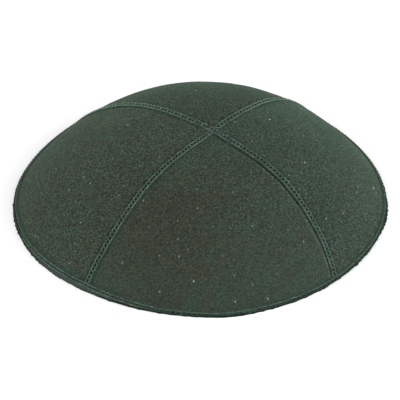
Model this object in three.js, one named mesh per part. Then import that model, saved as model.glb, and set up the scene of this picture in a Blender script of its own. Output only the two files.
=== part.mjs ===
// A kippah skullcap: four suede panels, butted at two crossing seams under raised seam bands,
// with a narrow folded edging round the rim. Millimetres, +Z up, the front towards -Y, resting on Z = 0.

import * as THREE from "three";

// Overall form: the diameter is the suede's own, at the table and averaged round the rim
const suedeDiameter = 173.4;
const crownHeight = 39;
const crownRight = 6;
const crownBack = -0.5;
const domeArcDegrees = 62.5;
const seamRidge = 0.6;

// Suede and edging
const suedeThickness = 1.2;
const bindingThickness = 0.5;
const bindingOutsideHeight = 2.2;
const bindingInsideHeight = 2.8;

// Seams
const seamGap = 0.3;
const bandWidth = 3.6;
const bandThickness = 0.5;
const bandRoll = 0.6;
const panelTipRadius = 0.7;

// The space between pieces that lie on each other
const clearance = 0.3;

// How finely the curved faces are cut
const panelRows = 18;
const panelColumns = 18;
const bandStations = 18;
const rimStations = 120;

// The rim's outline departs from a circle in waves round it, each a share of the rim's radius
const rimWaves = [
  { perTurn: 2, cosine: 0.0055, sine: 0.001 },
  { perTurn: 3, cosine: -0.0025, sine: -0.014 },
  { perTurn: 4, cosine: 0.0095, sine: 0.004 },
];

// Each seam's bearing at the rim, counter-clockwise from +X, then its sideways bow, S-bend and shorter wave on the way
// up, all in degrees
const seams = {
  frontLeft: { bearing: 232.5, bow: -2.1, sBend: -1.6, wave: -0.4 },
  frontRight: { bearing: 314.4, bow: 6.4, sBend: 2.1, wave: 0.8 },
  backRight: { bearing: 49.4, bow: 0.3, sBend: -0.3, wave: -0.4 },
  backLeft: { bearing: 138.3, bow: -1.6, sBend: -0.8, wave: 0.4 },
};

// Each panel lies between two seams, going round counter-clockwise
const panels = [
  { name: "panel_front", from: seams.frontLeft, to: seams.frontRight },
  { name: "panel_right", from: seams.frontRight, to: seams.backRight },
  { name: "panel_back", from: seams.backRight, to: seams.backLeft },
  { name: "panel_left", from: seams.backLeft, to: seams.frontLeft },
];

const suede = new THREE.MeshStandardMaterial({ color: 0x3e4a41, roughness: 0.95, metalness: 0 });
const seamSuede = new THREE.MeshStandardMaterial({ color: 0x3f5248, roughness: 0.9, metalness: 0 });
const edging = new THREE.MeshStandardMaterial({ color: 0x37493f, roughness: 0.9, metalness: 0 });

const domeArc = THREE.MathUtils.degToRad(domeArcDegrees);
const suedeRadius = suedeDiameter / 2;
const suedeEdgeHeight = bindingThickness + clearance;
// How fast the face spreads from the crown, where along is still small
const crownSpread = (suedeRadius * domeArc) / Math.sin(domeArc);
const shares = (count) => Array.from({ length: count + 1 }, (_, i) => i / count);

function rimRadius(bearing) {
  let share = 1;
  for (const { perTurn, cosine, sine } of rimWaves) {
    share += cosine * Math.cos(perTurn * bearing) + sine * Math.sin(perTurn * bearing);
  }
  return suedeRadius * share;
}

function seamBearing(seam, along) {
  const bow = seam.bow * Math.sin(Math.PI * along);
  const sBend = seam.sBend * Math.sin(2 * Math.PI * along);
  const wave = seam.wave * Math.sin(3 * Math.PI * along);
  return THREE.MathUtils.degToRad(seam.bearing + bow + sBend + wave);
}

const wholeTurn = (angle) => THREE.MathUtils.euclideanModulo(angle, 2 * Math.PI);

// The dome swells along each seam and is flatter between seams: 1 on a seam, -1 half way between two
function seamSwell(along, bearing) {
  const acrossPanels = panels.map(({ from, to }) => {
    const start = seamBearing(from, along);
    return wholeTurn(bearing - start) / wholeTurn(seamBearing(to, along) - start);
  });
  return 1 - 2 * Math.sin(Math.PI * Math.min(...acrossPanels));
}

// The outer face of the suede: along is 0 at the crown and 1 where the face would meet the table
function facePoint(along, bearing) {
  const spread = Math.sin(along * domeArc) / Math.sin(domeArc);
  const rise = (Math.cos(along * domeArc) - Math.cos(domeArc)) / (1 - Math.cos(domeArc));
  const ridge = seamRidge * seamSwell(along, bearing) * Math.sin(Math.PI * along);
  const reach = spread * (rimRadius(bearing) + ridge);
  return new THREE.Vector3(
    reach * Math.cos(bearing) + (1 - spread) * crownRight,
    reach * Math.sin(bearing) + (1 - spread) * crownBack,
    crownHeight * rise,
  );
}

function faceNormal(along, bearing) {
  const nudge = 1e-4;
  const place = Math.max(along, 2 * nudge);
  const outwards = facePoint(place + nudge, bearing).sub(facePoint(place - nudge, bearing));
  const round = facePoint(place, bearing + nudge).sub(facePoint(place, bearing - nudge));
  return outwards.cross(round).normalize();
}

// A point held off the outer face by lift, or inside the suede where lift is negative
function liftedPoint(along, bearing, lift) {
  return facePoint(along, bearing).addScaledVector(faceNormal(along, bearing), lift);
}

// Where a lifted face comes down to a height above the table, found by halving
function alongAtHeight(bearing, lift, height) {
  const halvings = 40;
  let above = 0.5;
  let below = 1.2;
  for (let halving = 0; halving < halvings; halving++) {
    const middle = (above + below) / 2;
    if (liftedPoint(middle, bearing, lift).z > height) above = middle;
    else below = middle;
  }
  return above;
}

function pointAtHeight(bearing, lift, height) {
  return liftedPoint(alongAtHeight(bearing, lift, height), bearing, lift).setZ(height);
}

// A wall between two grids of points that match, closed round its edges, or joined end to end into a ring
function wallSolid(outerRows, innerRows, isRing) {
  const rowLength = outerRows[0].length;
  const corners = [...outerRows.flat(), ...innerRows.flat()];
  const outer = (row, column) => (row % outerRows.length) * rowLength + column;
  const inner = (row, column) => outerRows.length * rowLength + outer(row, column);
  const triangles = [];
  const quad = (a, b, c, d) => triangles.push(a, b, c, a, c, d);
  const lastRow = isRing ? outerRows.length : outerRows.length - 1;
  const lastColumn = rowLength - 1;
  for (let row = 0; row < lastRow; row++) {
    const next = row + 1;
    for (let column = 0; column < lastColumn; column++) {
      quad(outer(row, column), outer(next, column), outer(next, column + 1), outer(row, column + 1));
      quad(inner(row, column), inner(row, column + 1), inner(next, column + 1), inner(next, column));
    }
    quad(outer(row, 0), inner(row, 0), inner(next, 0), outer(next, 0));
    quad(outer(row, lastColumn), outer(next, lastColumn), inner(next, lastColumn), inner(row, lastColumn));
  }
  for (let column = 0; column < lastColumn && !isRing; column++) {
    const next = column + 1;
    quad(outer(0, column), outer(0, next), inner(0, next), inner(0, column));
    quad(outer(lastRow, column), inner(lastRow, column), inner(lastRow, next), outer(lastRow, next));
  }
  const geometry = new THREE.BufferGeometry().setFromPoints(corners);
  geometry.setIndex(triangles);
  geometry.computeVertexNormals();
  return geometry;
}

// One gore, from a small blunt tip at the crown to its raw edge just above the table
function suedePanel({ name, from, to }) {
  const tipAlong = (panelTipRadius + seamGap) / crownSpread;
  const faceRows = (lift) =>
    shares(panelRows).map((down) =>
      shares(panelColumns).map((across) => {
        const bearingAt = (along) => {
          const reach = (suedeRadius * Math.sin(along * domeArc)) / Math.sin(domeArc);
          const margin = Math.asin(seamGap / 2 / reach);
          const start = seamBearing(from, along) + margin;
          const end = seamBearing(to, along) - margin;
          return start + across * wholeTurn(end - start);
        };
        const edgeAlong = alongAtHeight(bearingAt(1), lift, suedeEdgeHeight);
        const along = tipAlong + down * (edgeAlong - tipAlong);
        const point = liftedPoint(along, bearingAt(along), lift);
        return down === 1 ? point.setZ(suedeEdgeHeight) : point;
      }),
    );
  const mesh = new THREE.Mesh(wallSolid(faceRows(0), faceRows(-suedeThickness), false), suede);
  mesh.name = name;
  return mesh;
}

// A seam's centre line from the crown or near it down to the top of the edging
function seamStations(seam, startReach) {
  const startAlong = startReach / crownSpread;
  const endHeight = bindingOutsideHeight + clearance;
  return shares(bandStations).map((down) => ({ seam, down, startAlong, endHeight }));
}

function stationPoint({ seam, down, startAlong, endHeight }, lift) {
  const endAlong = alongAtHeight(seamBearing(seam, 1), lift, endHeight);
  const along = startAlong + down * (endAlong - startAlong);
  const bearing = seamBearing(seam, along);
  return { along, bearing, point: liftedPoint(along, bearing, lift) };
}

// A strip with rolled edges that lies on the suede along a list of stations
function seamBand(name, stations) {
  const centre = stations.map((station) => stationPoint(station, clearance));
  const offsets = [-bandWidth / 2, -bandWidth / 2 + bandRoll, bandWidth / 2 - bandRoll, bandWidth / 2];
  const crossRow = (heights) =>
    centre.map((here, i) => {
      const before = centre[Math.max(i - 1, 0)].point;
      const after = centre[Math.min(i + 1, centre.length - 1)].point;
      const normal = faceNormal(here.along, here.bearing);
      const sideways = normal.clone().cross(after.clone().sub(before)).normalize();
      return offsets.map((offset, column) =>
        here.point.clone().addScaledVector(sideways, offset).addScaledVector(normal, heights[column]),
      );
    });
  const rolledEdge = bandThickness / 2;
  const outerRows = crossRow([rolledEdge, bandThickness, bandThickness, rolledEdge]);
  const mesh = new THREE.Mesh(wallSolid(outerRows, crossRow([0, 0, 0, 0]), false), seamSuede);
  mesh.name = name;
  return mesh;
}

function seamBandOver() {
  const up = seamStations(seams.backLeft, 0).reverse();
  const down = seamStations(seams.frontRight, 0).slice(1);
  return seamBand("seam_band_over", [...up, ...down]);
}

// A half band starts beside the band that passes over the crown, far enough out for its corners to clear it
function seamBandHalf(name, seam) {
  const crossing = seamBearing(seam, 0) - seamBearing(seams.frontRight, 0);
  const halfWidth = bandWidth / 2;
  const cornerReach = halfWidth + clearance + halfWidth * Math.abs(Math.cos(crossing));
  return seamBand(name, seamStations(seam, cornerReach / Math.abs(Math.sin(crossing))));
}

// The edging: a strip folded round the suede's raw edge, with a flat underside that rests on the table
function rimBinding() {
  const outsideLift = clearance + bindingThickness;
  const insideLift = -suedeThickness - clearance;
  const outerRows = [];
  const innerRows = [];
  for (let station = 0; station < rimStations; station++) {
    const bearing = (station / rimStations) * 2 * Math.PI;
    outerRows.push([
      pointAtHeight(bearing, insideLift - bindingThickness, bindingInsideHeight),
      pointAtHeight(bearing, insideLift - bindingThickness, 0),
      pointAtHeight(bearing, outsideLift, 0),
      pointAtHeight(bearing, outsideLift, bindingOutsideHeight),
    ]);
    innerRows.push([
      pointAtHeight(bearing, insideLift, bindingInsideHeight),
      pointAtHeight(bearing, insideLift, bindingThickness),
      pointAtHeight(bearing, clearance, bindingThickness),
      pointAtHeight(bearing, clearance, bindingOutsideHeight),
    ]);
  }
  const mesh = new THREE.Mesh(wallSolid(outerRows, innerRows, true), edging);
  mesh.name = "rim_binding";
  return mesh;
}

const cap = new THREE.Group();
cap.add(
  ...panels.map(suedePanel),
  seamBandOver(),
  seamBandHalf("seam_band_front_left", seams.frontLeft),
  seamBandHalf("seam_band_back_right", seams.backRight),
  rimBinding(),
);

// The frame's origin is on the table, under the middle of the cap's bounding box
const middle = new THREE.Box3().setFromObject(cap, true).getCenter(new THREE.Vector3());
cap.position.set(-middle.x, -middle.y, 0);

export default cap;
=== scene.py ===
import math
from collections import namedtuple

import bpy
import numpy as np
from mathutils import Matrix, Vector


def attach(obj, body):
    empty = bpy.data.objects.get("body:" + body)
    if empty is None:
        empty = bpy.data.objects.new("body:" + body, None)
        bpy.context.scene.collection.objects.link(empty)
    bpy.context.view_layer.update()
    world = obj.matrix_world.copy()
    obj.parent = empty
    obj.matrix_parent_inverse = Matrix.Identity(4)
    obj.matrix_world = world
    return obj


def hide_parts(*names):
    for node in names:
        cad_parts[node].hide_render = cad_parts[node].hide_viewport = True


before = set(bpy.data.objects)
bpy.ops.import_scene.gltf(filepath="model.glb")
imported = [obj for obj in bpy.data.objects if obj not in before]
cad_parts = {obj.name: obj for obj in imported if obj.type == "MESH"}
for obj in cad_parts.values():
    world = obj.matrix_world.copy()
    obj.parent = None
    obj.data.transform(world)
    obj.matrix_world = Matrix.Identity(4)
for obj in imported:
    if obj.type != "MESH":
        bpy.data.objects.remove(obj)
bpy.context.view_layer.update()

MM = 0.001
TURN = 2 * math.pi
MERGE_DISTANCE = 1e-3 * MM

# The camera: its height angle, its distance from a point above the table, and its lens. The photograph's
# middle lies below and left of that point, by so many of its pixels over its focal length in pixels.
CAMERA_ELEVATION = math.radians(37.51)
CAMERA_DISTANCE = 0.9
CAMERA_AIM_HEIGHT = 15 * MM
CAMERA_LENS = 171.17
PHOTO_FOCAL_PIXELS = 1901.93
CAMERA_DROP = 30.78 / PHOTO_FOCAL_PIXELS
CAMERA_LEFT = 0.075 / PHOTO_FOCAL_PIXELS

# The cap's form, as the part's source gives it
SUEDE_RADIUS = 86.7 * MM
CROWN_HEIGHT = 39 * MM
CROWN_RIGHT = 6 * MM
CROWN_BACK = -0.5 * MM
DOME_ARC = math.radians(62.5)
SEAM_RIDGE = 0.6 * MM
SUEDE_THICKNESS = 1.2 * MM
SUEDE_EDGE_HEIGHT = 0.8 * MM
LOWEST_SUEDE = 0.1 * MM
PANEL_GAP = 0.3 * MM
PANEL_TIP_REACH = 1.0 * MM
EDGING_LIFT = 0.8 * MM
RIM_STATIONS = 120
# Between which places a face comes down to the table, and how often that stretch is halved
FACE_SEARCH = (0.5, 1.2)
HALVINGS = 24
RimWave = namedtuple("RimWave", "turns cosine sine")
RIM_WAVES = (RimWave(2, 0.0055, 0.001), RimWave(3, -0.0025, -0.014), RimWave(4, 0.0095, 0.004))

# A seam's bearing at the rim, sideways bow, S-bend and shorter wave in degrees, how long its stitches are,
# and how wide it is at the crown and at the rim, against the usual width
Seam = namedtuple("Seam", "bearing bow s_bend wave pitch crown_width rim_width")
SEAMS = {
    "front_left": Seam(232.5, -2.1, -1.6, -0.4, 1.95 * MM, 1.08, 0.95),
    "front_right": Seam(314.4, 6.55, 2.1, 0.63, 2.0 * MM, 1.25, 0.88),
    "back_right": Seam(49.4, 1.0, -0.3, -0.4, 2.52 * MM, 1.12, 1.12),
    "back_left": Seam(138.3, -2.4, -0.8, 0.4, 2.25 * MM, 1.2, 1.22),
}
LINE_POINTS = 1500
# Each panel's two seams
PANELS = {
    "panel_front": ("front_left", "front_right"),
    "panel_right": ("front_right", "back_right"),
    "panel_back": ("back_right", "back_left"),
    "panel_left": ("back_left", "front_left"),
}

# How deep the suede is drawn down on each side of a seam, at places from the crown to the rim, and how far
# out that is
Valleys = namedtuple("Valleys", "clockwise other")
VALLEY_PLACES = (0, 0.25, 0.5, 0.75, 1)
SEAM_VALLEYS = {
    "front_left": Valleys((0.8, 0.9, 1.7, 1.9, 1.2), (0.5, 0.7, 0.85, 1.05, 0.9)),
    "front_right": Valleys((1.1, 1.3, 3.0, 0.7, 0.8), (0.4, 0.6, 0.9, 0.95, 0.95)),
    "back_right": Valleys((0.2, 0.4, 0.5, 0.5, 0.5), (0.9, 0.8, 0.8, 0.9, 0.9)),
    "back_left": Valleys((0.7, 0.8, 0.8, 0.8, 0.8), (0.3, 0.6, 0.8, 0.8, 0.8)),
}
CLOCKWISE_VALLEY = 1.75 * MM
OTHER_VALLEY = 2.15 * MM
VALLEY_WIDTH = 0.5 * MM
# The pull of a stitch: how strong it is, how much that strays, and how far the stitch itself does
USUAL_PULL = 0.75
STRAY_PULL = 0.5
STRAY_STITCH = 0.12
STRAYS_APART = 20 * MM
# A valley's dip all along the seam, and what each stitch's pull adds, in metres and then as painted shade
EVEN_DIP = 0.12 * MM
PULLED_DIP = 0.20 * MM
MOST_DIPS = 1.5
EVEN_SHADE = 0.2
PULLED_SHADE = 0.85
SHADE_WIDTH = 0.29 * MM
SHADE_SPREAD = 0.07 * MM
# The suede swells again a little further out
SHOULDER_RISE = 0.08 * MM
SHOULDER_PLACE = 4.0 * MM
SHOULDER_WIDTH = 1.4 * MM
# One seam's clockwise side gets painted light past the crown, and the painted shade in its holes is weaker
# nearer the rim
PAINTED_LIGHT_SEAM = "front_right"
SEAM_PAINTED_LIGHT = 0.5
SEAM_PAINTED_LIGHT_PLACE = 2.9 * MM
SEAM_PAINTED_LIGHT_WIDTH = 0.55 * MM
SEAM_PAINTED_LIGHT_FROM = (8 * MM, 40 * MM)
SHUT_SHARE = 0.45
SHUT_PLACE = 73 * MM
SHUT_LENGTH = 11 * MM

# How high the suede's broad and small unevenness is and where it fades, and the shade above the edging
BROAD_RISE = 0.14 * MM
SMALL_RISE = 0.03 * MM
EVEN_FROM = (0.86, 0.97)
LOW_SHADE = 0.05
LOW_SHADE_FROM = (0.96, 0.975)

# How green a panel's suede is, from 0 for brownish to 1 for green, how light it is, and how strong its grain
# is at the crown and at the rim
Tone = namedtuple("Tone", "green light crown_grain rim_grain")
PANEL_TONES = {
    "panel_front": Tone(0.75, 1.02, 0.94, 0.42),
    "panel_right": Tone(0.95, 1.0, 0.85, 0.85),
    # The back panel's lower light is painted shade
    "panel_back": Tone(0.65, 0.9, 1.0, 1.0),
    "panel_left": Tone(0.5, 1.0, 1.05, 0.76),
}
# The seam strips and the edging
TRIM_TONE = Tone(0.6, 1.0, 0.45, 0.45)
# Patches where the suede's tone changes: the patch's middle and radius in mm, and how much greener and
# lighter it is. The back panel's darker patches are painted shade.
Patch = namedtuple("Patch", "x y radius greener lighter")
TONE_AND_SHADE_PATCHES = {
    "panel_front": (
        Patch(-16, -52, 33, -0.68, -0.13),
        Patch(-52, -66, 24, 0.0, 0.1),
        Patch(-12, -22, 12, 0.45, 0.1)),
    "panel_right": (Patch(46, 38, 28, 0.1, 0.18), Patch(62, -42, 16, 0.0, -0.12)),
    "panel_back": (Patch(8, 62, 34, 0.0, -0.12), Patch(19, 44, 16, 0.0, -0.1)),
    "panel_left": (
        Patch(-36, 26, 24, 0.0, 0.12),
        Patch(-66, -52, 26, 0.1, 0.05),
        Patch(-38, -40, 12, -0.2, -0.12)),
}

# How finely the suede is cut, with narrower columns beside the seams
PANEL_COLUMNS = 130
PANEL_ROWS = 200
SEAM_ZONE = 6 * MM
SEAM_ZONE_COLUMNS = 16
SEAM_ZONE_SHARE = 0.3

# Seam bands: a strip with a row of stitches on each side of its middle groove
BAND_COLUMNS = 28
BAND_ROWS_EACH_WAY = 450
BAND_HALF_WIDTH = 1.62 * MM
BAND_THICKNESS = 0.45 * MM
BAND_ROUNDING = 0.92
BAND_BLUNTNESS = 4
HALF_BAND_START = 1.5 * MM
BAND_TUCK = 0.5 * MM
BAND_EDGE_LIFT = -0.30 * MM
BAND_PILLOW = 0.70 * MM
ROW_OFFSET = 1.0 * MM
ROW_GROOVE = 0.14 * MM
ROW_GROOVE_WIDTH = 0.3 * MM
MIDDLE_GROOVE = 0.22 * MM
MIDDLE_GROOVE_FILLED = 0.12 * MM
MIDDLE_GROOVE_WIDTH = 0.42 * MM
HOLE_SHADE = 1.3
HOLE_SHADE_FILLED = 0.7
HOLE_SHADE_WIDTH = 0.55 * MM
# The holes' painted shade is weaker near the crown
CROWN_SHUT = 0.45
CROWN_SHUT_LENGTH = 16 * MM
BAND_EDGE_SHADE = 0.5
BAND_EDGE_SHADE_FROM = (1.3 * MM, BAND_HALF_WIDTH)

# A seam's stitches: the thread's thickness, how high it lies, and how far its ends dip into the holes
Thread = namedtuple("Thread", "thickness top dip")
ROW_THREAD = Thread(0.58 * MM, 0.36 * MM, 0.22 * MM)
RUNG_THREAD = Thread(0.5 * MM, 0.36 * MM, 0.12 * MM)
THICKNESS_SHARES = (0.86, 1.16)
SEAM_WANDER = 0.10 * MM
ROW_WANDER = 0.05
HOLE_STRAY = 0.09 * MM
RUNG_REACH = 0.92
RUNG_SLANT = 0.12 * MM
RUNG_SLANT_STRAY = 0.2 * MM
BACK_RUNG_CHANGE = 0.175 * MM
BACK_RUNGS_FROM = (4 * MM, 8 * MM)
# Threads towards the back are made lighter: a painted glint
BACK_GLINT = 0.72
BACK_GLINT_FROM = (10 * MM, 30 * MM)
STITCH_SIDES = 6
STITCH_RINGS = 7
STITCH_BLUNTNESS = 4
SEEDS_APART = 30 * MM
OVER_SEED = 21
HALF_SEAM_SEEDS = {"front_left": 22, "back_right": 23}

# The edging's outline in section, from its outer top inwards. Each row is a lift over the suede in mm, a
# distance in mm, and 0 if the distance runs up the slope or 1 if it runs down from the outer top.
EDGING_CORNERS = (
    (0.60, 0.52, 1), (0.50, 0.20, 1), (0.28, 0.03, 1), (0.02, 0.0, 1), (-0.12, 0.2, 1), (-0.12, 0.8, 1),
    (-0.12, 0.95, 0), (-1.10, 0.95, 0), (-1.10, 3.1, 0), (-1.30, 3.4, 0), (-1.65, 3.42, 0), (-1.95, 3.2, 0),
    (-2.0, 2.7, 0), (-2.0, 0.5, 0), (-1.85, 0.12, 0), (-1.5, 0.0, 0), (0.2, 0.0, 0), (0.62, 0.03, 0),
    (0.90, 0.16, 0), (1.00, 0.40, 0), (0.96, 0.70, 0), (0.80, 1.05, 0), (0.72, 1.35, 0), (0.72, 1.6, 0))
EDGING_ROUND = 1360
EDGING_SECTION = 60
EDGING_SLOPE = 0.818
LEAST_OUTSIDE_LIFT = 0.1 * MM

# Bumps round the rim: a size, and a bearing and a spread in degrees. The edging is turned up further at the
# front left, its lower edge stands out or is drawn in where the cap rests unevenly, and the painted shade on
# its lower fold ends higher or lower, all in mm. One stretch of it is smoother than the rest.
RimBump = namedtuple("RimBump", "size bearing spread")
EDGING_WIDTH = 2.55
WIDER_EDGING = (RimBump(1.6, 230, 23), RimBump(0.55, 191, 15), RimBump(-0.4, 277, 9))
EDGING_FLARE = -0.2
FLARES = (
    RimBump(0.8, 279, 9), RimBump(0.12, 298, 9), RimBump(0.4, 214, 13), RimBump(0.5, 350, 9),
    RimBump(-0.15, 328, 10))
FOLD_END = 1.22
FOLD_ENDS = (RimBump(-0.9, 222, 13), RimBump(0.85, 191, 9), RimBump(0.2, 261, 9), RimBump(-0.25, 280, 9))
SMOOTH_STRETCH = (RimBump(-0.65, 275, 13),)
FOLD_STRAY = 0.15 * MM
FOLD_SOFT_BELOW = 0.4 * MM
FOLD_SOFT_ABOVE = 0.3 * MM
FLARE_HEIGHT = 1.2 * MM

# Puckers between the edging's stitches
PUCKER_RISE = 0.38 * MM
PUCKER_SINK = 0.13 * MM
PUCKER_HEIGHT = 0.6 * MM
PUCKER_LENGTH = 0.38
PUCKER_SIZES = (-0.4, 1.2)
PUCKER_STRAYS = (-0.3, 0.3)
PUCKER_SEED = 33

# The edging's stitching and the painted shade in its creases
RIM_POINTS = 4000
RIM_PITCH = 2.45 * MM
RIM_ROW_DROP = 0.5 * MM
RIM_ROWS_APART = 1.35 * MM
RIM_LOWEST_ROW = 0.85 * MM
RIM_UPPER_DIP = 0.14 * MM
RIM_LOWER_DIP = 0.12 * MM
RIM_DIP_WIDTH = 0.35 * MM
RIM_SHADE_WIDTH = 0.35 * MM
RIM_GROOVE = 0.30 * MM
RIM_GROOVE_FILLED = 0.14 * MM
RIM_GROOVE_WIDTH = 0.33 * MM
RIM_HOLE_SHADE = 0.75
RIM_HOLE_SHADE_FILLED = 0.4
RIM_TOP_SHADE = 0.2
RIM_TOP_SHADE_WIDTH = 0.16 * MM
WIDE_EDGING = (2.9 * MM, 3.6 * MM)
# Painted shade between the puckers near the edging's lower edge
SPIKE_PLACE = 0.3 * MM
SPIKE_WIDTH = 0.45 * MM
SPIKE_SHARPNESS = 1.4
RAW_EDGE = (1.5 * MM, 2.1 * MM)
RAW_WIDTHS = (3.0 * MM, 3.7 * MM)
RIM_UPPER_THREAD = Thread(0.6 * MM, -0.06 * MM, 0.22 * MM)
RIM_LOWER_THREAD = Thread(0.6 * MM, 0.0, 0.22 * MM)
RIM_RUNG_THREAD = Thread(0.4 * MM, -0.16 * MM, 0.08 * MM)
RIM_HOLE_STRAY = 0.08 * MM
# Painted shade on the rim stitches where the edging is narrow and on its lower fold
RIM_NARROW_EDGING_SHADE = 0.25
RIM_FOLD_SHADE = 1.15
RIM_SEED = 31
RIM_TONE_SEED = 32
# How far above the table the second point lies that gives the rim its slope
SLOPE_HEIGHT = 2 * MM

# How the materials' nodes are laid out
NODES_IN_COLUMN = 5
NODE_SPACING = 240

# Linear colours
USUAL_COLOUR = (0.05, 0.07, 0.05, 1)
# The dark colour that painted shade mixes in
CREASE_SHADE_COLOUR = (0.0035, 0.0115, 0.0068, 1)
RAW_COLOUR = (0.045, 0.055, 0.049, 1)
SHEEN_COLOUR = (0.5, 1.0, 0.64, 1)
# The thread's groove colour is darker than its strands: painted shade
GROOVE_SHADE_COLOUR = (0.042, 0.077, 0.055, 1)
STRAND_COLOUR = (0.075, 0.126, 0.092, 1)
FLOOR_COLOUR = (0.95, 0.95, 0.95, 1)
SKY_COLOUR = (1, 1, 1, 1)

# Each suede's two colours, its sheen, and how dark the painted shade in its creases is
Suede = namedtuple("Suede", "green brown sheen depth")
SUEDES = {
    "suede": Suede((0.0285, 0.0440, 0.0325, 1), (0.0335, 0.0380, 0.0275, 1), 0.065, 0.5),
    "seam suede": Suede((0.029, 0.050, 0.037, 1), (0.032, 0.044, 0.033, 1), 0.08, 0.85),
    "edging suede": Suede((0.029, 0.051, 0.038, 1), (0.032, 0.045, 0.034, 1), 0.06, 0.8),
}
SUEDE_SHINE = 0.1
SHEEN_ROUGHNESS = 0.4
SUEDE_BUMP = (0.25 * MM, 0.6)
# How dark the painted shade on the edging's fold gets, and the most painted shade anywhere
FOLD_DEPTH = 0.93
MOST_SHADE = 0.95

# Noises in the nap and at the lint's edges, and the ranges their values are spread from and to
Noise = namedtuple("Noise", "scale detail roughness")
MOTTLE = Noise(170, 4, 0.75)
PATCHES = Noise(40, 2, 0.5)
GRAIN = Noise(1050, 1, 0.6)
FINE_GRAIN = Noise(2100, 1, 0.5)
RAGGED = Noise(1300, 1, 0.5)
NOISE_MIDDLE = (0.3, 0.7)
NOISE_MOST = (0.25, 0.75)
EITHER_WAY = (-1, 1)
FULL = (0, 1)
MOTTLE_MIX = (-0.7, 0.7)
PATCH_LIGHT = (0.95, 1.05)
SUEDE_ROUGHNESS = (0.98, 0.86)
GRAIN_BASE = 2.0
FINE_HEIGHT = 0.4

# Two sizes of lint: their colour, how closely their cells lie, and how large and how dense they are
Lint = namedtuple("Lint", "colour spacing size cover")
LINTS = (Lint((0.18, 0.235, 0.195, 1), 120.0, 0.057, 0.68), Lint((0.31, 0.37, 0.33, 1), 60.0, 0.036, 0.78))
RAGGED_REACH = (0.9 * MM, 0.9 * MM, 0)
LINT_CELLS = (0.45, 1.0)
LINT_EDGE = (0.0, 0.012)

# The thread's twist, its groove between the strands with its painted shade, and its tones
THREAD_TURNS_ALONG = 2.2
THREAD_STRANDS = 2.0
THREAD_GROOVE = (-1, -0.2)
THREAD_TONES = (0, 2)
THREAD_LIGHT = (0.62, 2.22)
THREAD_ROUGHNESS = (0.6, 0.42)
# How dark the painted shade on the rim stitches gets
THREAD_FOLD_DEPTH = 0.8
THREAD_SHINE = 0.35
THREAD_BUMP = (0.06 * MM, 0.7)

# Soft square lights round the cap, and the floor
Light = namedtuple("Light", "name place power")
LIGHTS = (
    Light("right light", (1.4, -0.1, 0.55), 21),
    Light("left light", (-1.4, -0.1, 0.6), 14),
    Light("front light", (0, -1.45, 0.4), 6))
LIGHT_SIZE = 1.2
SKY_STRENGTH = 0.72
FLOOR_SIZE = 8
FLOOR_ROUGHNESS = 0.9


def look_from_photograph():
    """Puts the camera where the photograph was taken from."""
    back = Vector((0, -math.cos(CAMERA_ELEVATION), math.sin(CAMERA_ELEVATION)))
    up = Vector((0, math.sin(CAMERA_ELEVATION), math.cos(CAMERA_ELEVATION)))
    place = Vector((0, 0, CAMERA_AIM_HEIGHT)) + CAMERA_DISTANCE * back
    bpy.ops.object.camera_add(location=place)
    camera = bpy.context.active_object
    camera.name = "camera"
    aim = -back - CAMERA_DROP * up - CAMERA_LEFT * Vector((1, 0, 0))
    camera.rotation_euler = aim.to_track_quat("-Z", "Y").to_euler()
    camera.data.lens = CAMERA_LENS
    bpy.context.scene.camera = camera
    bpy.context.scene.view_settings.view_transform = "Standard"


# The dome

def unit(vectors):
    return vectors / np.linalg.norm(vectors, axis=-1, keepdims=True)


def rim_radius(bearing):
    share = 1
    for wave in RIM_WAVES:
        share = share + wave.cosine * np.cos(wave.turns * bearing) + wave.sine * np.sin(wave.turns * bearing)
    return SUEDE_RADIUS * share


def seam_bearing(name, along):
    seam = SEAMS[name]
    bends = seam.bow * np.sin(np.pi * along) + seam.s_bend * np.sin(2 * np.pi * along)
    return np.radians(seam.bearing + bends + seam.wave * np.sin(3 * np.pi * along))


def seam_swell(along, bearing):
    """1 on a seam, -1 half way between two seams."""
    nearest = 1
    for first, last in PANELS.values():
        start = seam_bearing(first, along)
        share = np.mod(bearing - start, TURN) / np.mod(seam_bearing(last, along) - start, TURN)
        nearest = np.minimum(nearest, share)
    return 1 - 2 * np.sin(np.pi * nearest)


def reach_at(along):
    return SUEDE_RADIUS * np.sin(along * DOME_ARC) / math.sin(DOME_ARC)


def face_point(along, bearing):
    """The suede's outer face: along is 0 at the crown and 1 at the table."""
    spread = np.sin(along * DOME_ARC) / math.sin(DOME_ARC)
    rise = (np.cos(along * DOME_ARC) - math.cos(DOME_ARC)) / (1 - math.cos(DOME_ARC))
    ridge = SEAM_RIDGE * seam_swell(along, bearing) * np.sin(np.pi * along)
    reach = spread * (rim_radius(bearing) + ridge)
    x = reach * np.cos(bearing) + (1 - spread) * CROWN_RIGHT
    y = reach * np.sin(bearing) + (1 - spread) * CROWN_BACK
    return np.stack([x, y, CROWN_HEIGHT * rise], axis=-1)


def face_normal(along, bearing):
    nudge = 1e-4
    place = np.maximum(along, 2 * nudge)
    outwards = face_point(place + nudge, bearing) - face_point(place - nudge, bearing)
    around = face_point(place, bearing + nudge) - face_point(place, bearing - nudge)
    return unit(np.cross(outwards, around))


def lifted_point(along, bearing, lift):
    return face_point(along, bearing) + face_normal(along, bearing) * np.asarray(lift)[..., None]


def along_at_height(bearing, lift, height):
    """Where a lifted face comes down to a height above the table, found by halving."""
    above, below = (np.full(np.broadcast(bearing, lift, height).shape, end) for end in FACE_SEARCH)
    for _ in range(HALVINGS):
        middle = (above + below) / 2
        is_high = lifted_point(middle, bearing, lift)[..., 2] > height
        above = np.where(is_high, middle, above)
        below = np.where(is_high, below, middle)
    return above


def point_at_height(bearing, lift, height):
    points = lifted_point(along_at_height(bearing, lift, height), bearing, lift)
    points[..., 2] = height
    return points


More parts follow.
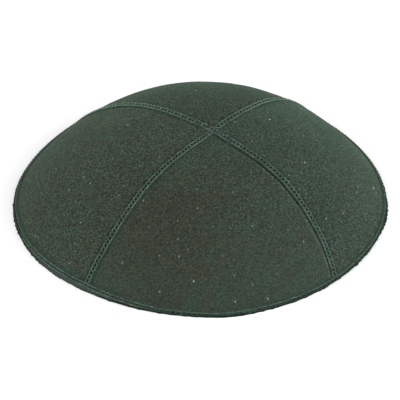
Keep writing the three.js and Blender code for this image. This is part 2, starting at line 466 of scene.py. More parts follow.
def middle_of_cap():
    """The middle of the rim's box, which the frame has at its origin."""
    bearing = np.arange(RIM_STATIONS) / RIM_STATIONS * TURN
    rim = point_at_height(bearing, EDGING_LIFT, 0)
    middle = (rim.min(axis=0) + rim.max(axis=0)) / 2
    return np.array([middle[0], middle[1], 0])


MIDDLE = middle_of_cap()


# Lines that stitches and bands follow, with the directions beside and above each point

def make_line(point, up, start=0):
    ahead = unit(np.gradient(point, axis=0))
    side = unit(np.cross(up, ahead))
    steps = np.linalg.norm(np.diff(point, axis=0), axis=1)
    length = np.concatenate([[0], np.cumsum(steps)])
    return {"length": length - length[start], "point": point, "side": side, "up": up}


def on_line(line, length, sideways, lift):
    """Points beside and above a line, from lengths along it."""
    def follow(name):
        values = [np.interp(length, line["length"], line[name][:, axis]) for axis in range(3)]
        return np.stack(values, axis=-1)
    return follow("point") + follow("side") * sideways[..., None] + follow("up") * lift[..., None]


def seam_line(*halves):
    """A seam's line from the crown to the rim, or from one rim over the crown to the other."""
    shares = np.linspace(0, 1, LINE_POINTS)
    if len(halves) == 1:
        bearing = seam_bearing(halves[0], shares)
        return make_line(face_point(shares, bearing), face_normal(shares, bearing))
    along = np.concatenate([shares[::-1], shares[1:]])
    bearing = np.concatenate([seam_bearing(halves[0], shares[::-1]), seam_bearing(halves[1], shares[1:])])
    return make_line(face_point(along, bearing), face_normal(along, bearing), start=len(shares) - 1)


def seam_end(seam):
    """How far from the crown a seam's stitching goes: to the edging's upper row."""
    upper_row, _ = edging_rows(edging_width(seam_bearing(seam, 1.0)))
    return SEAM_LINES[seam]["length"][-1] - upper_row


def count_stitches(length, *halves):
    """The stitch number at a length from the crown, with a whole number of them to each end."""
    back, front = halves[0], halves[-1]
    of_back = length / SEAM_ENDS[back] * SEAM_STITCHES[back]
    return np.where(length < 0, of_back, length / SEAM_ENDS[front] * SEAM_STITCHES[front])


def seam_width(length, *halves):
    """How wide a seam is at a length from the crown, against the usual width."""
    def width_at(seam, way):
        return np.interp(way / SEAM_ENDS[seam], (0, 1), (SEAMS[seam].crown_width, SEAMS[seam].rim_width))
    return np.where(length < 0, width_at(halves[0], -length), width_at(halves[-1], length))


def seam_holes(*halves):
    """The lengths from the crown at which a seam's needle went through."""
    back, front = halves[0], halves[-1]
    first = -SEAM_STITCHES[back] if len(halves) == 2 else 1
    number = np.arange(first, SEAM_STITCHES[front] + 1)
    back_pitch, front_pitch = (SEAM_ENDS[seam] / SEAM_STITCHES[seam] for seam in (back, front))
    return number * np.where(number < 0, back_pitch, front_pitch)


def stitch_pull(stitch):
    """1 where the needle went through, 0 half way to the next hole."""
    return 0.5 + 0.5 * np.cos(TURN * stitch)


# Shaping meshes

def start_piece(add, name, **settings):
    """Adds a primitive with nothing else selected."""
    bpy.ops.object.select_all(action="DESELECT")
    add(**settings)
    piece = bpy.context.active_object
    piece.name = name
    piece.data.name = name
    return piece


def read_points(piece):
    points = np.empty(len(piece.data.vertices) * 3)
    piece.data.vertices.foreach_get("co", points)
    return points.reshape(-1, 3)


def write_points(piece, points):
    piece.data.vertices.foreach_set("co", np.ascontiguousarray(points, dtype=np.float64).ravel())
    piece.data.update()


def write_masks(piece, **masks):
    """Gives a mesh's points their named values, which its material reads."""
    for name, values in masks.items():
        attribute = piece.data.attributes.new(name, "FLOAT", "POINT")
        filled = np.broadcast_to(values, len(piece.data.vertices))
        attribute.data.foreach_set("value", np.ascontiguousarray(filled, dtype=np.float32))


def write_trim_masks(piece, **masks):
    write_masks(piece, green=TRIM_TONE.green, light=TRIM_TONE.light, grain=TRIM_TONE.rim_grain, **masks)


def give_thickness(piece, thickness):
    solidify = piece.modifiers.new("thickness", "SOLIDIFY")
    solidify.thickness = thickness
    solidify.offset = -1
    bpy.ops.object.modifier_apply(modifier=solidify.name)


def sweep_round(piece, steps):
    """Turns a section into a closed ring about the Z axis, its faces outward."""
    screw = piece.modifiers.new("round", "SCREW")
    screw.steps = steps
    screw.render_steps = steps
    screw.use_merge_vertices = True
    screw.merge_threshold = MERGE_DISTANCE
    bpy.ops.object.modifier_apply(modifier=screw.name)
    bpy.ops.object.mode_set(mode="EDIT")
    bpy.ops.mesh.select_all(action="SELECT")
    bpy.ops.mesh.remove_doubles(threshold=MERGE_DISTANCE)
    bpy.ops.mesh.normals_make_consistent(inside=False)
    bpy.ops.object.mode_set(mode="OBJECT")


def shade_smooth(piece):
    piece.data.polygons.foreach_set("use_smooth", np.ones(len(piece.data.polygons), dtype=bool))
    piece.data.update()


def bump_at(distance, width):
    return np.exp(-np.square(distance / width))


def smooth_step(values, start, end):
    share = np.clip((values - start) / (end - start), 0, 1)
    return share * share * (3 - 2 * share)


def turned_from(bearing, degrees):
    return np.degrees(np.mod(bearing - math.radians(degrees) + math.pi, TURN) - math.pi)


# Hand-made unevenness, from a few seeded waves that run in every direction

def wave_set(seed, count, shortest, longest):
    random = np.random.default_rng(seed)
    heading = random.uniform(0, TURN, count)
    size = TURN / random.uniform(shortest, longest, count)
    phase = random.uniform(0, TURN, count)
    return np.cos(heading) * size, np.sin(heading) * size, phase


def wave_height(waves, x, y):
    total = 0
    for turn_x, turn_y, phase in zip(*waves):
        total = total + np.sin(turn_x * x + turn_y * y + phase)
    return total / math.sqrt(len(waves[0]))


BROAD_WAVES = wave_set(seed=11, count=9, shortest=24 * MM, longest=60 * MM)
SMALL_WAVES = wave_set(seed=12, count=14, shortest=5 * MM, longest=13 * MM)
PUCKER_WAVES = wave_set(seed=13, count=6, shortest=5 * MM, longest=16 * MM)


# Suede panels

def beside_seams(along, bearing):
    """How far the suede is drawn down beside the seams, how much painted shade its creases get, and how much
    painted light one seam's side gets.
    """
    lift, crease, painted_light = np.zeros((3, *along.shape))
    reach = reach_at(along)
    for seam, line in SEAM_LINES.items():
        turned = np.radians(turned_from(bearing - seam_bearing(seam, along), 0))
        is_clockwise = turned < 0
        length = np.interp(along, np.linspace(0, 1, len(line["length"])), line["length"])
        stray = wave_height(PUCKER_WAVES, length, np.sign(turned) * STRAYS_APART)
        strength = USUAL_PULL + STRAY_PULL * stray
        pull = strength * stitch_pull(count_stitches(length, seam) + STRAY_STITCH * stray)
        clockwise_depth, other_depth = (
            np.interp(length / line["length"][-1], VALLEY_PLACES, depths) for depths in SEAM_VALLEYS[seam])
        depth = np.where(is_clockwise, clockwise_depth, other_depth)
        beside = np.abs(turned) * reach / seam_width(length, seam)
        from_valley = beside - np.where(is_clockwise, CLOCKWISE_VALLEY, OTHER_VALLEY)
        dip = np.minimum(depth, MOST_DIPS) * (EVEN_DIP + PULLED_DIP * pull)
        lift -= dip * bump_at(from_valley, VALLEY_WIDTH)
        lift += SHOULDER_RISE * bump_at(beside - SHOULDER_PLACE, SHOULDER_WIDTH)
        # Painted shade in the valley beside the band
        shade = depth * (EVEN_SHADE + PULLED_SHADE * pull)
        crease += shade * bump_at(from_valley, SHADE_WIDTH + SHADE_SPREAD * depth)
        # One seam's clockwise side past the crown gets painted light beside its band
        if seam == PAINTED_LIGHT_SEAM:
            past_crown = np.where(is_clockwise, smooth_step(length, *SEAM_PAINTED_LIGHT_FROM), 0)
            painted_light += SEAM_PAINTED_LIGHT * past_crown * bump_at(beside - SEAM_PAINTED_LIGHT_PLACE, SEAM_PAINTED_LIGHT_WIDTH)
    return lift, crease, painted_light


def suede_relief(along, bearing):
    """The suede's whole relief, with broad and small unevenness that dies out above the edging."""
    base = face_point(along, bearing)
    uneven = 1 - smooth_step(along, *EVEN_FROM)
    lift, crease, painted_light = beside_seams(along, bearing)
    for rise, waves in ((BROAD_RISE, BROAD_WAVES), (SMALL_RISE, SMALL_WAVES)):
        lift += uneven * rise * wave_height(waves, base[..., 0], base[..., 1])
    # Painted shade on the suede just above the edging
    crease += LOW_SHADE * smooth_step(along, *LOW_SHADE_FROM)
    return lift, crease, painted_light


def suede_tones_and_shade(name, points):
    """How green and how light a panel's suede looks at each of its points, with painted shade on the back
    panel.
    """
    green, light = PANEL_TONES[name].green, PANEL_TONES[name].light
    for patch in TONE_AND_SHADE_PATCHES[name]:
        away = np.hypot(points[:, 0] - patch.x * MM, points[:, 1] - patch.y * MM)
        green = green + patch.greener * bump_at(away, patch.radius * MM)
        light = light + patch.lighter * bump_at(away, patch.radius * MM)
    return green, light


def add_panel(name, first, last):
    """A gore of suede: a flat grid laid on the dome between two seams, then given its thickness."""
    panel = start_piece(bpy.ops.mesh.primitive_grid_add, name + "_suede",
                        x_subdivisions=PANEL_COLUMNS, y_subdivisions=PANEL_ROWS, size=1)
    grid = read_points(panel)
    column = (grid[:, 0] + 0.5) * PANEL_COLUMNS
    down = 0.5 - grid[:, 1]
    tip = PANEL_TIP_REACH * math.sin(DOME_ARC) / (SUEDE_RADIUS * DOME_ARC)
    between = (column - SEAM_ZONE_COLUMNS) / (PANEL_COLUMNS - 2 * SEAM_ZONE_COLUMNS)

    def bearing_at(along):
        reach = reach_at(along)
        margin = np.arcsin(PANEL_GAP / 2 / reach)
        start = seam_bearing(first, along) + margin
        width = np.mod(seam_bearing(last, along) - margin - start, TURN) * reach
        zone = np.minimum(SEAM_ZONE, SEAM_ZONE_SHARE * width)
        from_first = column / SEAM_ZONE_COLUMNS * zone
        from_last = width - (PANEL_COLUMNS - column) / SEAM_ZONE_COLUMNS * zone
        place = np.where(between < 0, from_first,
                         np.where(between > 1, from_last, zone + between * (width - 2 * zone)))
        return start + place / reach

    edge = along_at_height(bearing_at(np.ones(len(down))), 0, SUEDE_EDGE_HEIGHT)
    along = tip + down * (edge - tip)
    bearing = bearing_at(along)
    lift, crease, painted_light = suede_relief(along, bearing)
    write_points(panel, lifted_point(along, bearing, lift) - MIDDLE)
    green, light = suede_tones_and_shade(name, read_points(panel))
    tone = PANEL_TONES[name]
    grain = tone.crown_grain + (tone.rim_grain - tone.crown_grain) * along
    # The light mask holds the panel's tones and the painted light beside one seam; the crease mask holds
    # painted shade
    write_masks(panel, crease=crease, green=green, light=light + painted_light, grain=grain)
    give_thickness(panel, SUEDE_THICKNESS)
    walls = read_points(panel)
    walls[:, 2] = np.maximum(walls[:, 2], LOWEST_SUEDE)
    write_points(panel, walls)
    shade_smooth(panel)
    return panel


# Seam bands

def band_profile(sideways, stitch, length, shut):
    """The band's height over the suede and the painted shade in its creases, at places beside its middle and
    stitch numbers.
    """
    beside = np.abs(sideways)
    pull = stitch_pull(stitch)
    edge = np.sqrt(np.clip(1 - np.power(beside / BAND_HALF_WIDTH, BAND_BLUNTNESS), 0, 1))
    lift = BAND_EDGE_LIFT + BAND_PILLOW * edge
    lift -= ROW_GROOVE * bump_at(beside - ROW_OFFSET, ROW_GROOVE_WIDTH)
    lift -= (MIDDLE_GROOVE - MIDDLE_GROOVE_FILLED * pull) * bump_at(beside, MIDDLE_GROOVE_WIDTH)
    # Painted shade in the holes between the rows and at the band's edges
    open_hole = 1 - CROWN_SHUT * bump_at(length, CROWN_SHUT_LENGTH) - shut
    crease = (HOLE_SHADE - HOLE_SHADE_FILLED * pull) * open_hole * bump_at(beside, HOLE_SHADE_WIDTH)
    crease += BAND_EDGE_SHADE * smooth_step(beside, *BAND_EDGE_SHADE_FROM)
    return lift, crease


def add_band(name, line, *halves):
    """A strip laid along a seam: a flat grid, pillowed under its stitches, then given its thickness."""
    band = start_piece(bpy.ops.mesh.primitive_grid_add, name + "_strip",
                       x_subdivisions=BAND_COLUMNS, y_subdivisions=BAND_ROWS_EACH_WAY * len(halves), size=1)
    grid = read_points(band)
    start = -SEAM_ENDS[halves[0]] - BAND_TUCK if len(halves) == 2 else HALF_BAND_START
    end = SEAM_ENDS[halves[-1]] + BAND_TUCK
    length = start + (0.5 - grid[:, 1]) * (end - start)
    across = np.sin(grid[:, 0] * math.pi * BAND_ROUNDING) / math.sin(math.pi / 2 * BAND_ROUNDING)
    sideways = BAND_HALF_WIDTH * across
    # One seam's holes get less painted shade nearer the rim
    shut = SHUT_SHARE * bump_at(length - SHUT_PLACE, SHUT_LENGTH) if halves[-1] == PAINTED_LIGHT_SEAM else 0
    lift, crease = band_profile(sideways, count_stitches(length, *halves), length, shut)
    write_points(band, on_line(line, length, sideways * seam_width(length, *halves), lift) - MIDDLE)
    write_trim_masks(band, crease=crease)
    give_thickness(band, BAND_THICKNESS)
    shade_smooth(band)
    return band


# Stitches

def make_stitch():
    """One short thick thread from -1 to 1 along X: a sphere with its ends filled out."""
    stitch = start_piece(bpy.ops.mesh.primitive_uv_sphere_add, "stitch",
                         segments=STITCH_SIDES, ring_count=STITCH_RINGS, radius=1)
    points = read_points(stitch)
    faces = [list(polygon.vertices) for polygon in stitch.data.polygons]
    bpy.data.objects.remove(stitch)
    nothing = 1e-6
    around = np.hypot(points[:, 0], points[:, 1])
    fuller = np.where(around > nothing, 1 / np.sqrt(np.maximum(around, nothing)), 0)
    return np.stack([points[:, 2], points[:, 0] * fuller, points[:, 1] * fuller], axis=-1), faces


STITCH_POINTS, STITCH_FACES = make_stitch()


def lay_threads(line, starts, ends, thread, random, thicker=0):
    """Every stitch's points, from its two ends on a line, each a length and a sideways place."""
    way = ends - starts
    far = np.linalg.norm(way, axis=1)[:, None]
    share = (STITCH_POINTS[:, 0][None] + 1) / 2
    across = np.stack([-way[:, 1], way[:, 0]], axis=-1) / far
    usual = thread.thickness + thicker
    thickness = usual * random.uniform(*THICKNESS_SHARES, (len(starts), 1))
    out = STITCH_POINTS[:, 1][None] * thickness / 2
    length = starts[:, :1] + way[:, :1] * share + across[:, :1] * out
    sideways = starts[:, 1:] + way[:, 1:] * share + across[:, 1:] * out
    sag = thread.dip * np.power(np.abs(STITCH_POINTS[:, 0]), STITCH_BLUNTNESS)[None]
    return on_line(line, length, sideways, thread.top - sag + STITCH_POINTS[:, 2][None] * thickness / 2)


def join_threads(name, stitches, seed):
    """All stitches of a seam in one mesh, each a copy of the one stitch laid in its place."""
    points = np.concatenate(stitches) - MIDDLE
    count = len(points)
    faces = []
    for number in range(count):
        first = number * len(STITCH_POINTS)
        faces.extend([first + corner for corner in face] for face in STITCH_FACES)
    mesh = bpy.data.meshes.new(name)
    mesh.from_pydata(points.reshape(-1, 3).tolist(), [], faces)
    piece = bpy.data.objects.new(name, mesh)
    bpy.context.scene.collection.objects.link(piece)
    shade_smooth(piece)
    around = np.arctan2(STITCH_POINTS[:, 1], -STITCH_POINTS[:, 2]) / TURN
    # Stitches towards the back get a painted glint on top of their random tone
    painted_glint_at_back = BACK_GLINT * smooth_step(points[:, :, 1].mean(axis=1), *BACK_GLINT_FROM)
    tone = np.random.default_rng(seed).uniform(0, 1, count) + painted_glint_at_back
    write_masks(piece, thread_along=np.tile(STITCH_POINTS[:, 0], count), thread_around=np.tile(around, count),
                thread_tone=np.repeat(tone, len(STITCH_POINTS)))
    return piece


def add_seam_stitches(name, line, seed, *halves):
    """Two rows of stitches along a seam, and the threads that cross between them."""
    holes = seam_holes(*halves)
    random = np.random.default_rng(seed)
    wander = SEAM_WANDER * wave_height(PUCKER_WAVES, holes, seed * SEEDS_APART)
    wider = 1 + ROW_WANDER * wave_height(BROAD_WAVES, holes, seed * SEEDS_APART)
    apart = ROW_OFFSET * seam_width(holes, *halves) * wider
    rows = []
    for side in (-1, 1):
        stray = random.normal(0, HOLE_STRAY, (2, len(holes)))
        rows.append(np.stack([holes + stray[0], wander + side * apart + stray[1]], axis=-1))
    stitches = [lay_threads(line, row[:-1], row[1:], ROW_THREAD, random) for row in rows]
    slant = random.normal(RUNG_SLANT, RUNG_SLANT_STRAY, len(holes))
    first, last = (row * (1, RUNG_REACH) + np.stack([side * slant, 0 * slant], axis=-1)
                   for side, row in zip((-1, 1), rows))
    is_back = smooth_step(-holes, *BACK_RUNGS_FROM)
    thicker = BACK_RUNG_CHANGE * np.where(np.arange(len(holes)) % 2, 1, -1) * is_back
    stitches.append(lay_threads(line, first, last, RUNG_THREAD, random, thicker[:, None]))
    return join_threads(name, stitches, seed)


# Rim edging

def round_rim(bearing, usual, bumps):
    """A usual size with its bumps round the rim."""
    return usual + sum(bump.size * bump_at(turned_from(bearing, bump.bearing), bump.spread) for bump in bumps)


def edging_width(bearing):
    """How far up the slope the edging's outside reaches."""
    return round_rim(bearing, EDGING_WIDTH, WIDER_EDGING) * MM


def edging_rows(width):
    """How far up the slope the edging's two rows of stitches lie."""
    upper = width - RIM_ROW_DROP
    return upper, np.maximum(upper - RIM_ROWS_APART, RIM_LOWEST_ROW)


def edging_section(bearing, station):
    """The section's lift over the suede, and its distance up the slope."""
    width = edging_width(bearing)
    corners = np.array(EDGING_CORNERS)
    at = station / EDGING_SECTION * len(corners)
    low = np.floor(at).astype(int) % len(corners)
    high = (low + 1) % len(corners)
    share = at - np.floor(at)

    def at_corner(index):
        lift, distance, is_from_top = corners[index].T
        return lift * MM, np.where(is_from_top > 0, width - distance * MM, distance * MM)

    lift_low, place_low = at_corner(low)
    lift_high, place_high = at_corner(high)
    return lift_low * (1 - share) + lift_high * share, place_low * (1 - share) + place_high * share


def edging_fold_shade(bearing, place, stray):
    """How much painted shade darkens the edging's lower fold: it turns under more or less along the rim."""
    fold_end = round_rim(bearing, FOLD_END, FOLD_ENDS) * MM + FOLD_STRAY * stray
    return 1 - smooth_step(place, fold_end - FOLD_SOFT_BELOW, fold_end + FOLD_SOFT_ABOVE)


def edging_puckers(stitch, bearing):
    """Small outward puckers between the edging's stitches, each with a size and a place of its own."""
    random = np.random.default_rng(PUCKER_SEED)
    count = RIM_STITCHES + 3
    sizes = np.clip(random.uniform(*PUCKER_SIZES, count), 0, 1)
    strays = random.uniform(*PUCKER_STRAYS, count)
    nearest = np.round(stitch).astype(int)
    height = 0
    for beside in (-1, 0, 1):
        number = nearest + beside
        height = height + sizes[number] * bump_at(stitch - number - strays[number], PUCKER_LENGTH)
    return height * round_rim(bearing, 1, SMOOTH_STRETCH)


def rim_length(bearing):
    return np.interp(bearing, RIM_BEARINGS, RIM_LINE["length"])


def add_edging():
    """The folded edging: a ring whose section is drawn to a U round the suede's raw edge."""
    edging = start_piece(bpy.ops.mesh.primitive_circle_add, "rim_edging",
                         vertices=EDGING_SECTION, radius=1 * MM)
    section = read_points(edging)
    upright = np.stack([SUEDE_RADIUS + section[:, 0], section[:, 2], section[:, 1]], axis=-1)
    write_points(edging, upright)
    sweep_round(edging, EDGING_ROUND)
    ring = read_points(edging)
    bearing = np.mod(np.arctan2(ring[:, 1], ring[:, 0]), TURN)
    section = np.arctan2(ring[:, 2], np.hypot(ring[:, 0], ring[:, 1]) - SUEDE_RADIUS)
    station = np.round(np.mod(section, TURN) / TURN * EDGING_SECTION) % EDGING_SECTION
    lift, place = edging_section(bearing, station)
    width = edging_width(bearing)
    is_outside = lift > LEAST_OUTSIDE_LIFT
    is_wide = smooth_step(width, *WIDE_EDGING)
    stitch = rim_length(bearing) / RIM_LINE["length"][-1] * RIM_STITCHES
    stray = wave_height(PUCKER_WAVES, rim_length(bearing), 0)
    pull = stitch_pull(stitch)
    pucker = edging_puckers(stitch, bearing)
    upper_row, lower_row = edging_rows(width)
    from_groove = place - (upper_row + lower_row) / 2
    relief = -RIM_UPPER_DIP * pull * bump_at(place - upper_row, RIM_DIP_WIDTH)
    relief -= RIM_LOWER_DIP * pull * bump_at(place - lower_row, RIM_DIP_WIDTH)
    relief -= (RIM_GROOVE - RIM_GROOVE_FILLED * pull) * bump_at(from_groove, RIM_GROOVE_WIDTH)
    relief += (PUCKER_RISE * pucker - PUCKER_SINK) * bump_at(place, PUCKER_HEIGHT)
    relief += round_rim(bearing, EDGING_FLARE, FLARES) * MM * bump_at(place, FLARE_HEIGHT)
    points = point_at_height(bearing, lift + np.where(is_outside, relief, 0), place * EDGING_SLOPE)
    write_points(edging, points - MIDDLE)
    # Painted shade between the puckers, in the holes of the middle groove and under the edging's top
    shade_between_puckers = bump_at(place - SPIKE_PLACE, SPIKE_WIDTH) * np.clip(1 - SPIKE_SHARPNESS * pucker, 0, 1)
    hole_shade = (RIM_HOLE_SHADE - RIM_HOLE_SHADE_FILLED * pull) * bump_at(from_groove, RIM_SHADE_WIDTH)
    crease = is_wide * (shade_between_puckers + hole_shade) + RIM_TOP_SHADE * bump_at(width - place, RIM_TOP_SHADE_WIDTH)
    raw = smooth_step(width, *RAW_WIDTHS) * (1 - smooth_step(place, *RAW_EDGE))
    # Painted shade on the edging's lower fold
    fold = edging_fold_shade(bearing, place, stray)
    write_trim_masks(edging, crease=np.where(is_outside, crease, 0), fold=fold, raw=raw)
    shade_smooth(edging)
    return edging


def add_rim_stitches():
    """Two rows of stitches along the edging's outside, and the threads that cross between them."""
    holes = np.arange(RIM_STITCHES) / RIM_STITCHES * RIM_LINE["length"][-1]
    random = np.random.default_rng(RIM_SEED)
    bearing = np.interp(holes, RIM_LINE["length"], RIM_BEARINGS)
    width = edging_width(bearing)
    upper_place, lower_place = edging_rows(width)
    rows = []
    for place in (upper_place, lower_place):
        stray = random.normal(0, RIM_HOLE_STRAY, (2, RIM_STITCHES))
        rows.append(np.stack([holes + stray[0], place + stray[1]], axis=-1))

    def next_holes(row):
        following = np.roll(row, -1, axis=0)
        following[-1, 0] += RIM_LINE["length"][-1]
        return following

    stitches = [lay_threads(RIM_LINE, row, next_holes(row), thread, random)
                for row, thread in zip(rows, (RIM_UPPER_THREAD, RIM_LOWER_THREAD))]
    stitches.append(lay_threads(RIM_LINE, rows[1], rows[0], RIM_RUNG_THREAD, random))
    piece = join_threads("rim_stitches", stitches, RIM_TONE_SEED)
    # Painted shade on the threads where the edging is narrow and on its lower fold
    narrow_edging_shade = RIM_NARROW_EDGING_SHADE * (1 - smooth_step(width, *WIDE_EDGING))
    fold = [np.maximum(narrow_edging_shade, RIM_FOLD_SHADE * edging_fold_shade(bearing, place, 0))
            for place in (upper_place, lower_place, (upper_place + lower_place) / 2)]
    write_masks(piece, fold=np.repeat(np.concatenate(fold), len(STITCH_POINTS)))
    return piece


def rim_line():
    """The edging's outer face at the table, all the way round, with the slope as its sideways direction."""
    face = point_at_height(RIM_BEARINGS, EDGING_LIFT, 0)
    side = unit(point_at_height(RIM_BEARINGS, EDGING_LIFT, SLOPE_HEIGHT) - face)
    ahead = unit(np.gradient(face, axis=0))
    return dict(make_line(face, unit(np.cross(ahead, side))), side=side)


# Materials

def add_node(tree, kind, **values):
    """Adds a node, laid out in columns in the order in which they are made."""
    column, row = divmod(len(tree.nodes), NODES_IN_COLUMN)
    node = tree.nodes.new(kind)
    node.location = (column * NODE_SPACING, -row * NODE_SPACING)
    for name, value in values.items():
        setattr(node, name, value)
    return node


def join(tree, source, socket):
    """Joins an output to a socket, or gives the socket a plain value."""
    if isinstance(source, bpy.types.NodeSocket):
        tree.links.new(source, socket)
    else:
        socket.default_value = source


def set_inputs(node, **values):
    for name, value in values.items():
        node.inputs[name.replace("_", " ").title()].default_value = value


def start_group(name, inputs, outputs):
    """An empty node group with its sockets: each a name and a kind, and for an input its usual value."""
    group = bpy.data.node_groups.new(name, "ShaderNodeTree")
    for label, kind, value in inputs:
        socket = group.interface.new_socket(label, in_out="INPUT", socket_type="NodeSocket" + kind)
        if value is not None:
            socket.default_value = value
    for label, kind in outputs:
        group.interface.new_socket(label, in_out="OUTPUT", socket_type="NodeSocket" + kind)
    return group, add_node(group, "NodeGroupInput"), add_node(group, "NodeGroupOutput")


def noise(tree, place, kind, output=0):
    node = add_node(tree, "ShaderNodeTexNoise")
    set_inputs(node, **kind._asdict())
    join(tree, place, node.inputs["Vector"])
    return node.outputs[output]


def spread(tree, source, given, made):
    """Stretches the values of one range over another."""
    node = add_node(tree, "ShaderNodeMapRange")
    for label, value in zip(("Value", "From Min", "From Max", "To Min", "To Max"), (source, *given, *made)):
        join(tree, value, node.inputs[label])
    return node.outputs["Result"]


def math_node(tree, operation, *values):
    node = add_node(tree, "ShaderNodeMath", operation=operation)
    for socket, value in zip(node.inputs, values):
        join(tree, value, socket)
    return node.outputs[0]


def mix_colour(tree, factor, first, second):
    node = add_node(tree, "ShaderNodeMix", data_type="RGBA")
    for number, value in ((0, factor), (6, first), (7, second)):
        join(tree, value, node.inputs[number])
    return node.outputs[2]


def scale_colour(tree, colour, amount):
    node = add_node(tree, "ShaderNodeVectorMath", operation="SCALE")
    join(tree, colour, node.inputs[0])
    join(tree, amount, node.inputs["Scale"])
    return node.outputs[0]


def make_nap_group():
    """Suede's nap: a mottle of two colours, lighter and darker patches, and a short rough grain."""
    group, given, made = start_group(
        "suede nap",
        [("Place", "Vector", None), ("Green", "Color", USUAL_COLOUR), ("Brown", "Color", USUAL_COLOUR),
         ("Tone", "Float", 0.5), ("Light", "Float", 1.0), ("Grain", "Float", 0.6)],
        [("Color", "Color"), ("Roughness", "Float"), ("Height", "Float")])
    place = given.outputs["Place"]
    mottle = spread(group, noise(group, place, MOTTLE), NOISE_MIDDLE, MOTTLE_MIX)
    factor = math_node(group, "ADD", mottle, given.outputs["Tone"])
    colour = mix_colour(group, factor, given.outputs["Brown"], given.outputs["Green"])
    patches = spread(group, noise(group, place, PATCHES), NOISE_MIDDLE, PATCH_LIGHT)
    grain = noise(group, place, GRAIN)
    fine = noise(group, place, FINE_GRAIN)
    centred = spread(group, grain, NOISE_MOST, EITHER_WAY)
    finer = spread(group, fine, NOISE_MOST, EITHER_WAY)
    both = math_node(group, "ADD", centred, finer)
    strength = math_node(group, "MULTIPLY", both, given.outputs["Grain"])
    lighter = math_node(group, "POWER", GRAIN_BASE, strength)
    patched = math_node(group, "MULTIPLY", patches, given.outputs["Light"])
    tone = math_node(group, "MULTIPLY", lighter, patched)
    join(group, scale_colour(group, colour, tone), made.inputs["Color"])
    join(group, spread(group, grain, NOISE_MIDDLE, SUEDE_ROUGHNESS), made.inputs["Roughness"])
    low_fine = math_node(group, "MULTIPLY", fine, FINE_HEIGHT)
    join(group, math_node(group, "ADD", grain, low_fine), made.inputs["Height"])
    return group


def make_crease_group():
    """Darkens a colour where a crease, a hole or a fold keeps light out."""
    group, given, made = start_group(
        "crease shade",
        [("Color", "Color", USUAL_COLOUR), ("Dark", "Color", CREASE_SHADE_COLOUR), ("Crease", "Float", 0.0),
         ("Depth", "Float", 0.6)],
        [("Color", "Color")])
    depth = math_node(group, "MULTIPLY", given.outputs["Crease"], given.outputs["Depth"])
    share = math_node(group, "MINIMUM", depth, MOST_SHADE)
    colour = mix_colour(group, share, given.outputs["Color"], given.outputs["Dark"])
    join(group, colour, made.inputs["Color"])
    return group


def make_lint_group():
    """Pale specks of lint caught in the nap, each a ragged spot in a cell of its own."""
    group, given, made = start_group(
        "lint",
        [("Place", "Vector", None), ("Color", "Color", USUAL_COLOUR), ("Lint", "Color", LINTS[0].colour),
         ("Spacing", "Float", 60.0), ("Size", "Float", 0.04), ("Cover", "Float", 0.8)],
        [("Color", "Color")])
    place = given.outputs["Place"]
    moved = add_node(group, "ShaderNodeVectorMath", operation="MULTIPLY_ADD")
    join(group, noise(group, place, RAGGED, "Color"), moved.inputs[0])
    moved.inputs[1].default_value = RAGGED_REACH
    join(group, place, moved.inputs[2])
    cells = add_node(group, "ShaderNodeTexVoronoi", voronoi_dimensions="2D")
    join(group, moved.outputs[0], cells.inputs["Vector"])
    join(group, given.outputs["Spacing"], cells.inputs["Scale"])
    chosen = add_node(group, "ShaderNodeSeparateColor")
    join(group, cells.outputs["Color"], chosen.inputs["Color"])
    share = spread(group, chosen.outputs[0], LINT_CELLS, FULL)
    size = math_node(group, "MULTIPLY", share, given.outputs["Size"])
    near = math_node(group, "SUBTRACT", size, cells.outputs["Distance"])
    speck = spread(group, near, LINT_EDGE, FULL)
    cover = math_node(group, "MULTIPLY", speck, given.outputs["Cover"])
    colour = mix_colour(group, cover, given.outputs["Color"], given.outputs["Lint"])
    join(group, colour, made.inputs["Color"])
    return group


def use_group(tree, group, **values):
    node = add_node(tree, "ShaderNodeGroup", node_tree=group)
    for name, value in values.items():
        join(tree, value, node.inputs[name.title()])
    return node


def start_material(name):
    material = bpy.data.materials.new(name)
    material.use_nodes = True
    tree = material.node_tree
    return material, tree, tree.nodes["Principled BSDF"]


def read_mask(tree, name):
    return add_node(tree, "ShaderNodeAttribute", attribute_name=name).outputs["Fac"]


def add_bump(tree, shader, height, distance, strength):
    bump = add_node(tree, "ShaderNodeBump")
    set_inputs(bump, strength=strength, distance=distance)
    join(tree, height, bump.inputs["Height"])
    join(tree, bump.outputs["Normal"], shader.inputs["Normal"])


def shade_by(tree, colour, mask, depth):
    """Darkens a colour by one of the piece's masks."""
    return use_group(tree, CREASE, color=colour, crease=read_mask(tree, mask), depth=depth).outputs["Color"]


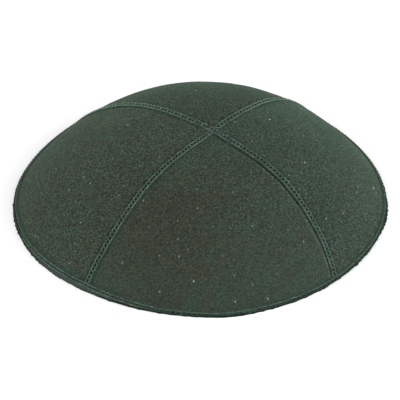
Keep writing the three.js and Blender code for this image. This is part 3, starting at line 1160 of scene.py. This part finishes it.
def make_suede(name, has_lint=False, has_fold=False):
    """A suede material: nap in two colours, darkened by painted shade in the piece's own creases."""
    material, tree, shader = start_material(name)
    look = SUEDES[name]
    place = add_node(tree, "ShaderNodeTexCoord").outputs["Object"]
    tone, light, grain = (read_mask(tree, mask) for mask in ("green", "light", "grain"))
    nap = use_group(tree, NAP, place=place, green=look.green, brown=look.brown,
                    tone=tone, light=light, grain=grain)
    colour = nap.outputs["Color"]
    # On the edging: its raw colour, then painted shade on its lower fold
    if has_fold:
        colour = mix_colour(tree, read_mask(tree, "raw"), colour, RAW_COLOUR)
        colour = shade_by(tree, colour, "fold", FOLD_DEPTH)
    # Painted shade in the piece's creases
    colour = shade_by(tree, colour, "crease", look.depth)
    for lint in LINTS if has_lint else ():
        colour = use_group(tree, LINT, place=place, color=colour, lint=lint.colour, spacing=lint.spacing,
                           size=lint.size, cover=lint.cover).outputs["Color"]
    join(tree, colour, shader.inputs["Base Color"])
    join(tree, nap.outputs["Roughness"], shader.inputs["Roughness"])
    shader.inputs["Specular IOR Level"].default_value = SUEDE_SHINE
    set_inputs(shader, sheen_weight=look.sheen, sheen_roughness=SHEEN_ROUGHNESS, sheen_tint=SHEEN_COLOUR)
    add_bump(tree, shader, nap.outputs["Height"], *SUEDE_BUMP)
    return material


def make_thread():
    """Sewing thread: two twisted strands with painted shade between them, each stitch a little lighter or
    darker than the next.
    """
    material, tree, shader = start_material("thread")
    along = math_node(tree, "MULTIPLY", read_mask(tree, "thread_along"), THREAD_TURNS_ALONG)
    around = math_node(tree, "MULTIPLY", read_mask(tree, "thread_around"), THREAD_STRANDS)
    turn = math_node(tree, "MULTIPLY", math_node(tree, "ADD", along, around), TURN)
    strands = math_node(tree, "SINE", turn)
    # The groove between the strands gets a darker colour: painted shade
    groove = spread(tree, strands, THREAD_GROOVE, FULL)
    tone = spread(tree, read_mask(tree, "thread_tone"), THREAD_TONES, THREAD_LIGHT)
    colour = scale_colour(tree, mix_colour(tree, groove, GROOVE_SHADE_COLOUR, STRAND_COLOUR), tone)
    # Painted shade on the rim stitches
    colour = shade_by(tree, colour, "fold", THREAD_FOLD_DEPTH)
    join(tree, colour, shader.inputs["Base Color"])
    join(tree, spread(tree, strands, EITHER_WAY, THREAD_ROUGHNESS), shader.inputs["Roughness"])
    shader.inputs["Specular IOR Level"].default_value = THREAD_SHINE
    add_bump(tree, shader, strands, *THREAD_BUMP)
    return material


# Handing pieces over

def hand_over(piece, material, slot, *nodes):
    piece.data.materials.clear()
    piece.data.materials.append(material)
    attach(piece, "root")
    if nodes:
        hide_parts(*nodes)


# Floor and light

def add_floor():
    floor = start_piece(bpy.ops.mesh.primitive_plane_add, "floor", size=FLOOR_SIZE)
    paint, _, shader = start_material("floor")
    set_inputs(shader, base_color=FLOOR_COLOUR, roughness=FLOOR_ROUGHNESS)
    floor.data.materials.append(paint)


def light_studio():
    world = bpy.data.worlds.new("studio")
    bpy.context.scene.world = world
    world.use_nodes = True
    background = world.node_tree.nodes["Background"]
    set_inputs(background, color=SKY_COLOUR, strength=SKY_STRENGTH)
    for name, place, power in LIGHTS:
        bpy.ops.object.light_add(type="AREA", location=place)
        light = bpy.context.active_object
        light.name = name
        light.data.size = LIGHT_SIZE
        light.data.energy = power
        light.rotation_euler = (-Vector(place)).to_track_quat("-Z", "Y").to_euler()


look_from_photograph()

SEAM_LINES = {seam: seam_line(seam) for seam in SEAMS}
SEAM_ENDS = {seam: seam_end(seam) for seam in SEAMS}
SEAM_STITCHES = {seam: round(SEAM_ENDS[seam] / SEAMS[seam].pitch) for seam in SEAMS}
OVER_LINE = seam_line("back_left", "front_right")
RIM_BEARINGS = np.linspace(0, TURN, RIM_POINTS)
RIM_LINE = rim_line()
RIM_STITCHES = round(RIM_LINE["length"][-1] / RIM_PITCH)

NAP = make_nap_group()
CREASE = make_crease_group()
LINT = make_lint_group()
suede = make_suede("suede", has_lint=True)
seam_suede = make_suede("seam suede")
edge_suede = make_suede("edging suede", has_fold=True)
thread = make_thread()

for name, (first, last) in PANELS.items():
    hand_over(add_panel(name, first, last), suede, "suede", name)

over_band = add_band("seam_band_over", OVER_LINE, "back_left", "front_right")
hand_over(over_band, seam_suede, "seam_suede", "seam_band_over")
over_stitches = add_seam_stitches("seam_over_stitches", OVER_LINE, OVER_SEED, "back_left", "front_right")
hand_over(over_stitches, thread, "thread")
for seam, seed in HALF_SEAM_SEEDS.items():
    line = SEAM_LINES[seam]
    hand_over(add_band("seam_band_" + seam, line, seam), seam_suede, "seam_suede", "seam_band_" + seam)
    hand_over(add_seam_stitches("seam_" + seam + "_stitches", line, seed, seam), thread, "thread")

hand_over(add_edging(), edge_suede, "rim_edging", "rim_binding")
hand_over(add_rim_stitches(), thread, "thread")

add_floor()
light_studio()
